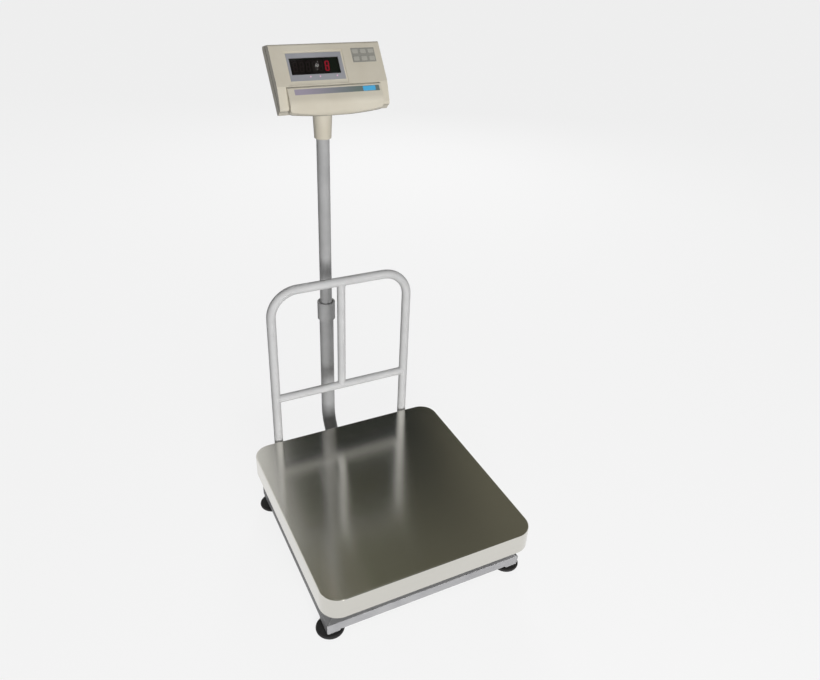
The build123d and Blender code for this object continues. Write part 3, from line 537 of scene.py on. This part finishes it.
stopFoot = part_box("overload_stops")[0][2] + stops["above"]
stopMiddle = middleOf("overload_stops", 1)
stopSeeds = [((sideways * stops["x"], stopMiddle + back * stops["run"], stopFoot), facing((0, 0, 1)))
             for sideways in (-1, 1) for back in (-1, 1)]
growPiece("stop_threads", seedMesh("stop_seats", stopSeeds), makeThreadTree(finishes["zinc"]), {}, "base",
          "zinc")


# Places on the tilted indicator: x across, up the face and out of it

tiltJoint = next(joint for joint in frame["joints"] if joint["name"] == "indicator_tilt")
indicator = {"angle": math.radians(53.4), "axisToFace": (0, -7 * mm, 90 * mm)}
faceOrigin = Vector(tiltJoint["pos_m"]) + Vector(indicator["axisToFace"])
faceTurn = Matrix.Rotation(indicator["angle"], 3, "X")


def onFace(x, up, out):
    return faceOrigin + faceTurn @ Vector((x, up, out))


# Pan head screws with a cross recess, in the rear shell

caseScrews = {
    "x": 112.5 * mm, "up": (-12 * mm, -118 * mm), "seat": -40 * mm, "crown": 0.82, "headSides": 40,
    "shankSides": 20,
    "sizes": {"Head Radius": 5.5 * mm, "Head Height": 2 * mm, "Recess Length": 6 * mm,
              "Recess Width": 1.1 * mm, "Recess Depth": 1.3 * mm, "Shank Radius": 2.9 * mm,
              "Shank Length": 19 * mm},
}


def makePanScrewTree(material):
    tree, sizes = startTree("pan_head_screws", caseScrews["sizes"])
    crown = addNode(tree, "ShaderNodeMath", {"operation": "MULTIPLY"}, {
        0: sizes["Head Radius"], 1: caseScrews["crown"]})
    head = addNode(tree, "GeometryNodeMeshCone", {}, {
        "Vertices": caseScrews["headSides"], "Radius Top": crown, "Radius Bottom": sizes["Head Radius"],
        "Depth": sizes["Head Height"]})
    headTop = addNode(tree, "ShaderNodeCombineXYZ", {}, {"Z": sizes["Head Height"]})
    # Two bars cut the cross, one less deep than the other, so no two faces lie in one plane
    for first, second, share in (("Recess Length", "Recess Width", 2.0),
                                 ("Recess Width", "Recess Length", 1.9)):
        depth = addNode(tree, "ShaderNodeMath", {"operation": "MULTIPLY"}, {
            0: sizes["Recess Depth"], 1: share})
        size = addNode(tree, "ShaderNodeCombineXYZ", {}, {"X": sizes[first], "Y": sizes[second], "Z": depth})
        bar = addNode(tree, "GeometryNodeMeshCube", {}, {"Size": size})
        bar = addNode(tree, "GeometryNodeTransform", {}, {"Geometry": bar, "Translation": headTop})
        head = addNode(tree, "GeometryNodeMeshBoolean", {"operation": "DIFFERENCE", "solver": "EXACT"}, {
            "Mesh 1": head, "Mesh 2": bar})
    shank = addNode(tree, "GeometryNodeMeshCylinder", {}, {
        "Vertices": caseScrews["shankSides"], "Radius": sizes["Shank Radius"],
        "Depth": sizes["Shank Length"]})
    below = addNode(tree, "ShaderNodeMath", {"operation": "MULTIPLY"}, {0: sizes["Shank Length"], 1: -0.5})
    shankMiddle = addNode(tree, "ShaderNodeCombineXYZ", {}, {"Z": below})
    shank = addNode(tree, "GeometryNodeTransform", {}, {"Geometry": shank, "Translation": shankMiddle})
    screw = addNode(tree, "GeometryNodeJoinGeometry", {}, {"Geometry": [head, shank]})
    return endTree(tree, setOnSeeds(tree, sizes["Geometry"], screw), material)


backwards = faceTurn @ Matrix.Rotation(math.pi, 3, "X")
screwSeeds = [(onFace(side * caseScrews["x"], up, caseScrews["seat"]), backwards)
              for up in caseScrews["up"] for side in (-1, 1)]
growPiece("case_screws_pan_head", seedMesh("case_screw_seats", screwSeeds),
          makePanScrewTree(finishes["zinc"]), {}, "indicator", "zinc", "case_screws")


# Seven-segment digits behind the window, one of them lit

digits = {"count": 6, "pitch": 13.9 * mm, "last": -4.05 * mm, "middle": -48 * mm, "top": -3.3 * mm,
          "width": 9.2 * mm, "height": 22 * mm, "stroke": 2.3 * mm, "gap": 0.5 * mm, "depth": 0.3 * mm,
          "slant": 0.09, "lit": 5}
# Each bar of a digit: place in half widths and half heights, and whether it stands
digitBars = [(0, 1, False), (0, 0, False), (0, -1, False), (1, 0.5, True), (1, -0.5, True),
             (-1, 0.5, True), (-1, -0.5, True)]
halfWidth = (digits["width"] - digits["stroke"]) / 2
halfHeight = (digits["height"] - digits["stroke"]) / 2
barLengths = {"across": 2 * halfWidth - digits["gap"], "standing": halfHeight - digits["gap"]}


def makeBarTree(name, material):
    # A bar with pointed ends: a six-sided drum pulled out at its ends
    tree, sizes = startTree(name, {"Length": 9 * mm, "Stroke": digits["stroke"], "Depth": digits["depth"]})
    radius = addNode(tree, "ShaderNodeMath", {"operation": "MULTIPLY"}, {0: sizes["Stroke"], 1: 0.5})
    bar = addNode(tree, "GeometryNodeMeshCylinder", {}, {
        "Vertices": 6, "Radius": radius, "Depth": sizes["Depth"]})
    place = addNode(tree, "GeometryNodeInputPosition", {}, {})
    sideways = addNode(tree, "ShaderNodeSeparateXYZ", {}, {"Vector": place}).outputs["X"]
    side = addNode(tree, "ShaderNodeMath", {"operation": "SIGN"}, {0: sideways})
    longer = addNode(tree, "ShaderNodeMath", {"operation": "SUBTRACT"}, {
        0: sizes["Length"], 1: sizes["Stroke"]})
    half = addNode(tree, "ShaderNodeMath", {"operation": "MULTIPLY"}, {0: longer, 1: 0.5})
    shift = addNode(tree, "ShaderNodeMath", {"operation": "MULTIPLY"}, {0: side, 1: half})
    pull = addNode(tree, "ShaderNodeCombineXYZ", {}, {"X": shift})
    bar = addNode(tree, "GeometryNodeSetPosition", {}, {"Geometry": bar, "Offset": pull})
    return endTree(tree, setOnSeeds(tree, sizes["Geometry"], bar), material)


def barSeeds(numbers, standing):
    seeds = []
    for number in numbers:
        middle = digits["last"] - (digits["count"] - 1 - number) * digits["pitch"]
        for sideways, upwards, stands in digitBars:
            if stands != standing:
                continue
            up = upwards * halfHeight
            x = middle + sideways * halfWidth + digits["slant"] * up
            turn = math.pi / 2 - digits["slant"] if stands else 0
            place = onFace(x, digits["middle"] + up, digits["top"] - digits["depth"] / 2)
            seeds.append((place, faceTurn @ Matrix.Rotation(turn, 3, "Z")))
    return seeds


unlitNumbers = [number for number in range(digits["count"]) if number != digits["lit"]]
for finish, slot, numbers in (("litDigit", "lamp_red", [digits["lit"]]),
                              ("segments", "digit_plastic", unlitNumbers)):
    for way, length in barLengths.items():
        name = finish + "_bars_" + way
        growPiece(name, seedMesh(name + "_places", barSeeds(numbers, way == "standing")),
                  makeBarTree(name, finishes[finish]), {"Length": length}, "indicator", slot)


# Plain blue block at the right end of the strip

blueBlock = {"left": 61 * mm, "right": 90 * mm, "top": -99.8 * mm, "bottom": -110.2 * mm,
             "low": 4.2 * mm, "high": 4.4 * mm, "corner": 2.0 * mm, "cornerSteps": 6}


def makeBlueBlock(sizes, material):
    # A thin film with rounded corners, lying on the face
    corner = sizes["corner"]
    steps = sizes["cornerSteps"]
    centres = ((sizes["right"] - corner, sizes["top"] - corner),
               (sizes["left"] + corner, sizes["top"] - corner),
               (sizes["left"] + corner, sizes["bottom"] + corner),
               (sizes["right"] - corner, sizes["bottom"] + corner))
    outline = []
    for quarter, (x, up) in enumerate(centres):
        for step in range(steps + 1):
            angle = math.radians(90 * (quarter + step / steps))
            outline.append((x + corner * math.cos(angle), up + corner * math.sin(angle)))
    shape = bmesh.new()
    below = [shape.verts.new(onFace(x, up, sizes["low"])) for x, up in outline]
    above = [shape.verts.new(onFace(x, up, sizes["high"])) for x, up in outline]
    shape.faces.new(above)
    shape.faces.new(below[::-1])
    for i in range(len(outline)):
        j = (i + 1) % len(outline)
        shape.faces.new((below[i], below[j], above[j], above[i]))
    mesh = bpy.data.meshes.new("strip_blue_block")
    shape.to_mesh(mesh)
    shape.free()
    piece = bpy.data.objects.new("strip_blue_block", mesh)
    bpy.context.scene.collection.objects.link(piece)
    coat(piece, material)
    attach(piece, "indicator")


makeBlueBlock(blueBlock, finishes["block"])
print("indicator dressed")


# Seams: weld beads on the tubes, and a dark bead between the two halves of the housing whose colour is
# painted shade in the parting seam

weld = {"Radius": 1.3 * mm, "Step": 0.6 * mm, "Ripple": 0.12, "Ripple Pitch": 2.4 * mm}
turns = [math.tau * step / 72 for step in range(72)]


def makeSeamTree(name, material):
    # A round bead along each line, with ripples where the weld pool froze step by step
    tree, sizes = startTree(name, weld)
    curve = addNode(tree, "GeometryNodeMeshToCurve", {}, {"Mesh": sizes["Geometry"]})
    curve = addNode(tree, "GeometryNodeResampleCurve", {"mode": "LENGTH"}, {
        "Curve": curve, "Length": sizes["Step"]})
    along = addNode(tree, "GeometryNodeSplineParameter", {}, {}).outputs["Length"]
    rounds = addNode(tree, "ShaderNodeMath", {"operation": "DIVIDE"}, {0: along, 1: sizes["Ripple Pitch"]})
    phase = addNode(tree, "ShaderNodeMath", {"operation": "MULTIPLY"}, {0: rounds, 1: math.tau})
    wave = addNode(tree, "ShaderNodeMath", {"operation": "SINE"}, {0: phase})
    swell = addNode(tree, "ShaderNodeMath", {"operation": "MULTIPLY_ADD"}, {
        0: wave, 1: sizes["Ripple"], 2: 1.0})
    thickness = addNode(tree, "ShaderNodeMath", {"operation": "MULTIPLY"}, {0: swell, 1: sizes["Radius"]})
    profile = addNode(tree, "GeometryNodeCurvePrimitiveCircle", {}, {"Resolution": 8, "Radius": 1.0})
    bead = addNode(tree, "GeometryNodeCurveToMesh", {}, {
        "Curve": curve, "Profile Curve": profile, "Scale": thickness, "Fill Caps": True})
    return endTree(tree, bead, material)


guard = {"y": 201.75 * mm, "leg": 175 * mm, "tube": 11 * mm, "bar": 10 * mm, "barHeight": 266 * mm,
         "top": 561 * mm}


def guardSeams(sizes):
    # The coped ends of the bars: the crossbar at both legs, the centre bar below and above
    tube = sizes["tube"]
    bar = sizes["bar"]
    left = []
    right = []
    foot = []
    top = []
    for turn in turns:
        across = bar * math.cos(turn)
        up = bar * math.sin(turn)
        fromMiddle = sizes["leg"] - math.sqrt(tube ** 2 - across ** 2)
        left.append((-fromMiddle, sizes["y"] + across, sizes["barHeight"] + up))
        right.append((fromMiddle, sizes["y"] + across, sizes["barHeight"] + up))
        foot.append((across, sizes["y"] + up, sizes["barHeight"] + abs(across)))
        top.append((across, sizes["y"] + up, sizes["top"] - math.sqrt(tube ** 2 - up ** 2)))
    return [(route, True) for route in (left, right, foot, top)]


growPiece("guard_weld_beads", seamMesh("guard_seams", guardSeams(guard)),
          makeSeamTree("guard_welds", finishes["rail"]), weld, "base", "rail_paint")

column = {"tube": 18 * mm, "y": 306.75 * mm, "flangeBack": 158.25 * mm, "flangeHeight": 30 * mm,
          "lap": 1 * mm, "bead": 1.6 * mm}


def columnSeams(sizes):
    # Round the tube behind the flange, and under the collar
    tube = sizes["tube"]
    underCollar = tube + sizes["lap"]
    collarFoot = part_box("column_collar")[0][2]
    flange = [(tube * math.cos(turn), sizes["flangeBack"], sizes["flangeHeight"] + tube * math.sin(turn))
              for turn in turns]
    collar = [(underCollar * math.cos(turn), sizes["y"] + underCollar * math.sin(turn), collarFoot)
              for turn in turns]
    return [(flange, True), (collar, True)]


growPiece("column_weld_beads", seamMesh("column_seams", columnSeams(column)),
          makeSeamTree("column_welds", finishes["column"]), {**weld, "Radius": column["bead"]}, "base",
          "column_paint")

frameTube = {"width": 30 * mm, "bead": 0.8 * mm}


def frameSeams(width):
    # The mitres: across the top of each corner of the frame and down its outer edge
    left, front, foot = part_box("base_tube_front")[0]
    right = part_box("base_tube_front")[1][0]
    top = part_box("base_tube_front")[1][2]
    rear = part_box("base_tube_rear")[1][1]
    seams = []
    for x, y in ((left, front), (right, front), (left, rear), (right, rear)):
        inner = (x - math.copysign(width, x), y - math.copysign(width, y), top)
        seams.append(([inner, (x, y, top), (x, y, foot)], False))
    return seams


growPiece("frame_weld_beads", seamMesh("frame_seams", frameSeams(frameTube["width"])),
          makeSeamTree("frame_welds", finishes["frame"]), {**weld, "Radius": frameTube["bead"]}, "base",
          "frame_paint")

# sizes of the bead whose dark colour is painted shade along the housing's parting seam
shadedSeam = {"depth": -19.6 * mm, "radius": 0.45 * mm, "step": 2 * mm, "merge": 0.01 * mm, "onPlane": 1e-7}


def reach(route):
    return max((point.co.x for point in route), default=0) - min((point.co.x for point in route), default=0)


def housingSeam(sizes):
    # The outermost line that a plane across the front shell cuts, just in front of the split
    shape = bmesh.new()
    shape.from_mesh(nodes["front_shell"].data)
    bmesh.ops.remove_doubles(shape, verts=shape.verts, dist=sizes["merge"])
    cut = bmesh.ops.bisect_plane(
        shape, geom=shape.verts[:] + shape.edges[:] + shape.faces[:], dist=sizes["onPlane"],
        plane_co=onFace(0, 0, sizes["depth"]), plane_no=faceTurn @ Vector((0, 0, 1)))
    cutEdges = [item for item in cut["geom_cut"] if isinstance(item, bmesh.types.BMEdge)]
    unused = set(cutEdges)
    longest = []
    for edge in cutEdges:
        if edge not in unused:
            continue
        route = [edge.verts[0], edge.verts[1]]
        while edge is not None:
            unused.discard(edge)
            edge = next((other for other in route[-1].link_edges if other in unused), None)
            if edge is not None:
                route.append(edge.other_vert(route[-1]))
        if reach(route) > reach(longest):
            longest = route
    points = [vertex.co.copy() for vertex in longest[:-1]]
    shape.free()
    return points


# A dark bead at the split: its colour is painted shade in the seam, where the shells themselves meet face to
# face
growPiece("housing_seam_shade", seamMesh("housing_seam", [(housingSeam(shadedSeam), True)]),
          makeSeamTree("housing_seam_shade", finishes["shadedSeam"]),
          {"Radius": shadedSeam["radius"], "Step": shadedSeam["step"], "Ripple": 0.0}, "indicator", "housing_plastic")
print("seams done")


# Studio

view = {"place": (-0.56641, -1.24720, 1.33269), "yaw": 0.48244, "pitch": 0.53856, "roll": 0.0482,
        "lens": 31.843, "sensor": 36, "farthest": 200}


def makeCamera(sizes):
    yaw = sizes["yaw"]
    pitch = sizes["pitch"]
    ahead = Vector((math.sin(yaw) * math.cos(pitch), math.cos(yaw) * math.cos(pitch), -math.sin(pitch)))
    level = Vector((math.cos(yaw), -math.sin(yaw), 0))
    above = level.cross(ahead)
    roll = sizes["roll"]
    right = math.cos(roll) * level + math.sin(roll) * above
    up = math.cos(roll) * above - math.sin(roll) * level
    data = bpy.data.cameras.new("camera")
    data.lens = sizes["lens"]
    data.sensor_width = sizes["sensor"]
    data.clip_end = sizes["farthest"]
    camera = bpy.data.objects.new("camera", data)
    turn = Matrix((right, up, -ahead)).transposed().to_4x4()
    camera.matrix_world = Matrix.Translation(sizes["place"]) @ turn
    bpy.context.scene.collection.objects.link(camera)
    bpy.context.scene.camera = camera


def seenByEye(tree):
    # 1 for camera, glossy and transmission rays, so that metal shows the same background as the camera
    path = addNode(tree, "ShaderNodeLightPath", {}, {})
    first = addNode(tree, "ShaderNodeMath", {"operation": "MAXIMUM"}, {
        0: path.outputs["Is Camera Ray"], 1: path.outputs["Is Glossy Ray"]})
    return addNode(tree, "ShaderNodeMath", {"operation": "MAXIMUM"}, {
        0: first, 1: path.outputs["Is Transmission Ray"]})


floorPaint = {"side": 60.0, "colour": "#5a5a5a", "pale": "#f3f3f3", "glow": 0.945, "shadow": 0.1}


def makeFloor(sizes):
    half = sizes["side"] / 2
    mesh = bpy.data.meshes.new("floor")
    mesh.from_pydata([(-half, -half, 0), (half, -half, 0), (half, half, 0), (-half, half, 0)], [],
                     [(0, 1, 2, 3)])
    floor = bpy.data.objects.new("floor", mesh)
    bpy.context.scene.collection.objects.link(floor)
    material, tree = startMaterial("painted_floor")
    matt = addNode(tree, "ShaderNodeBsdfDiffuse", {}, {"Color": toLinear(sizes["colour"])})
    shade = addNode(tree, "ShaderNodeBsdfDiffuse", {}, {"Color": (sizes["shadow"],) * 3 + (1,)})
    glow = addNode(tree, "ShaderNodeEmission", {}, {
        "Color": toLinear(sizes["pale"]), "Strength": sizes["glow"]})
    lit = addNode(tree, "ShaderNodeAddShader", {}, {0: shade, 1: glow})
    both = addNode(tree, "ShaderNodeMixShader", {}, {0: seenByEye(tree), 1: matt, 2: lit})
    addNode(tree, "ShaderNodeOutputMaterial", {}, {"Surface": both})
    coat(floor, material)


room = {
    "cove": "#f3f3f3", "ceiling": "#6c6c5c", "farCeiling": "#6a685b", "card": "#f3f3f3",
    "alcove": "#141a20", "soft": "#ffffff", "ambient": 0.09,
    # The two ends of each soft edge: X or Z of a direction, where Z is 0 level and 1 straight up
    "edges": {"coveTop": (0.18, 0.26), "ceilingSide": (0.22, 0.46), "alcoveSide": (0.36, 0.46),
              "alcoveTop": (0.64, 0.74), "cardSide": (0.178, 0.215), "cardTop": (0.66, 0.76)},
}


def makeWorld(sizes):
    # A pale cove up to eye height, a dim ceiling, a white card at the rear left and a dark alcove beside it
    world = bpy.data.worlds.new("studio")
    bpy.context.scene.world = world
    world.use_nodes = True
    tree = world.node_tree
    tree.nodes.clear()
    place = addNode(tree, "ShaderNodeTexCoord", {}, {})
    way = addNode(tree, "ShaderNodeSeparateXYZ", {}, {"Vector": place.outputs["Generated"]})
    past = {}
    for edge, (low, high) in sizes["edges"].items():
        # 0 before the edge, 1 past it
        past[edge] = addNode(tree, "ShaderNodeMapRange", {"interpolation_type": "SMOOTHSTEP"}, {
            "Value": way.outputs["Z" if edge.endswith("Top") else "X"], "From Min": low, "From Max": high})
    colour = addNode(tree, "ShaderNodeMix", {"data_type": "RGBA"}, {
        0: past["ceilingSide"], 6: toLinear(sizes["ceiling"]), 7: toLinear(sizes["farCeiling"])}).outputs[2]
    for patch in ("alcove", "card"):
        outside = addNode(tree, "ShaderNodeMath", {"operation": "MAXIMUM"}, {
            0: past[patch + "Side"], 1: past[patch + "Top"]})
        colour = addNode(tree, "ShaderNodeMix", {"data_type": "RGBA"}, {
            0: outside, 6: toLinear(sizes[patch]), 7: colour}).outputs[2]
    colour = addNode(tree, "ShaderNodeMix", {"data_type": "RGBA"}, {
        0: past["coveTop"], 6: toLinear(sizes["cove"]), 7: colour}).outputs[2]
    seen = addNode(tree, "ShaderNodeBackground", {}, {"Color": colour, "Strength": 1.0})
    soft = addNode(tree, "ShaderNodeBackground", {}, {
        "Color": toLinear(sizes["soft"]), "Strength": sizes["ambient"]})
    both = addNode(tree, "ShaderNodeMixShader", {}, {0: seenByEye(tree), 1: soft, 2: seen})
    addNode(tree, "ShaderNodeOutputWorld", {}, {"Surface": both})


lampsInRoom = {
    "key": {"place": (-0.45, -2.9, 0.85), "aim": (0, 0, 0.55), "side": (1.6, 1.4), "power": 101,
            "glossy": False},  # so broad that it would draw white lines along every metal edge
    "spark": {"place": (-0.2, -2.6, 1.3), "aim": (0, 0, 0.5), "side": (0.5, 0.5), "power": 4,
              "glossy": True},
    "back": {"place": (1.6, 3.06, 1.9), "aim": (0, 0, 0.4), "side": (1.1, 1.1), "power": 44,
             "glossy": False},
    "top": {"place": (0.2, -0.2, 3.4), "aim": (0, 0, 0), "side": (1.8, 1.8), "power": 3, "glossy": True},
    "glint": {"place": (0.572, -0.532, 2.542), "aim": (-0.026, 0.259, 1.04), "side": (0.016, 0.009),
              "power": 0.012, "glossy": True},  # the small reflection on the window
}


def makeLamp(name, sizes):
    data = bpy.data.lights.new(name, "AREA")
    data.shape = "RECTANGLE"
    data.size, data.size_y = sizes["side"]
    data.energy = sizes["power"]
    lamp = bpy.data.objects.new(name, data)
    lamp.location = sizes["place"]
    lamp.visible_camera = False
    lamp.visible_glossy = sizes["glossy"]
    lamp.rotation_mode = "QUATERNION"
    lamp.rotation_quaternion = (Vector(sizes["aim"]) - Vector(sizes["place"])).to_track_quat("-Z", "Y")
    bpy.context.scene.collection.objects.link(lamp)


makeCamera(view)
makeFloor(floorPaint)
makeWorld(room)
for name, sizes in lampsInRoom.items():
    makeLamp(name, sizes)
bpy.context.scene.view_settings.view_transform = "Standard"
print("studio ready")
